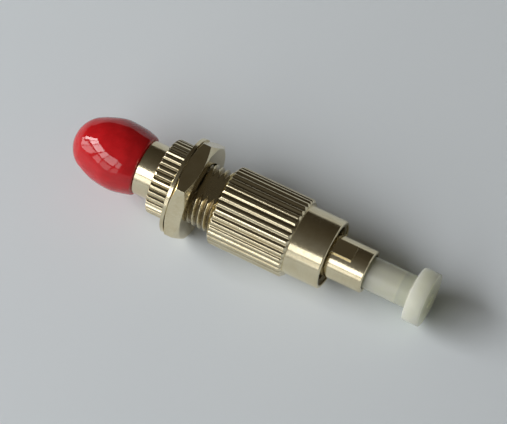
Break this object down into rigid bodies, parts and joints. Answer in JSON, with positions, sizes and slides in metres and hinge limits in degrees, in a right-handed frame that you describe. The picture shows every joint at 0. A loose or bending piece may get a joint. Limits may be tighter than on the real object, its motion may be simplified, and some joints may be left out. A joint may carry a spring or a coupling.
{
  "type": "sma to fc fibre adapter",
  "caption": "In-line fibre adapter: capped SMA receptacle, knurled bulkhead flange with panel nut and washer, and a keyed, capped FC plug with a knurled coupling nut.",
  "frame": {"origin": "on the optical axis, in the face of the knurled flange that seats on a panel", "axes": "+X along the optical axis towards the FC plug, +Z towards the plug's key and the thread's flat"},
  "size_m": [0.0482, 0.0138, 0.0125],
  "materials": {
    "nickel_plate": "polished",
    "spring_steel": "satin",
    "stainless_steel": "satin",
    "zirconia": "gloss",
    "fibre_glass": "polished",
    "red_vinyl": "gloss",
    "white_polyethylene": "satin"
  },
  "bodies": {
    "adapter": {"bulkhead_body": "nickel_plate", "plug_frame": "nickel_plate", "sma_stub_ferrule": "stainless_steel", "spring_tube": "stainless_steel", "ferrule_spring": "spring_steel"},
    "washer": {"panel_washer": "nickel_plate"},
    "nut": {"hex_nut": "nickel_plate"},
    "ring": {"retaining_ring": "spring_steel"},
    "coupling": {"coupling_nut": "nickel_plate"},
    "ferrule": {"fc_ferrule": "zirconia", "ferrule_collar": "stainless_steel", "optical_fibre": "fibre_glass"},
    "sma_cap": {"sma_dust_cap": "red_vinyl"},
    "ferrule_cap": {"ferrule_dust_cap": "white_polyethylene"}
  },
  "joints": [
    {"name": "sma_cap_pull", "type": "slide", "parent": "adapter", "child": "sma_cap", "axis": [-1, 0, 0], "range_m": [0, 0.008]},
    {"name": "washer_travel", "type": "slide", "parent": "adapter", "child": "washer", "axis": [1, 0, 0], "range_m": [0, 0.0028]},
    {"name": "nut_turn", "type": "hinge", "parent": "washer", "child": "nut", "pos_m": [0.0015, 0, 0], "axis": [1, 0, 0], "range_deg": [0, 1350]},
    {"name": "coupling_float", "type": "slide", "parent": "adapter", "child": "ring", "axis": [1, 0, 0], "range_m": [0, 0.0015]},
    {"name": "coupling_spin", "type": "hinge", "parent": "ring", "child": "coupling", "pos_m": [0.013, 0, 0], "axis": [1, 0, 0], "continuous": true},
    {"name": "ferrule_float", "type": "slide", "parent": "adapter", "child": "ferrule", "axis": [-1, 0, 0], "range_m": [0, 0.001], "stiffness_N_per_m": 3000, "deforming": ["ferrule_spring", "optical_fibre"]},
    {"name": "ferrule_cap_pull", "type": "slide", "parent": "ferrule", "child": "ferrule_cap", "axis": [1, 0, 0], "range_m": [0, 0.011]}
  ],
  "couplings": [
    {"joint": "nut_turn", "follows": "washer_travel", "rad_per_m": 8377.6}
  ]
}
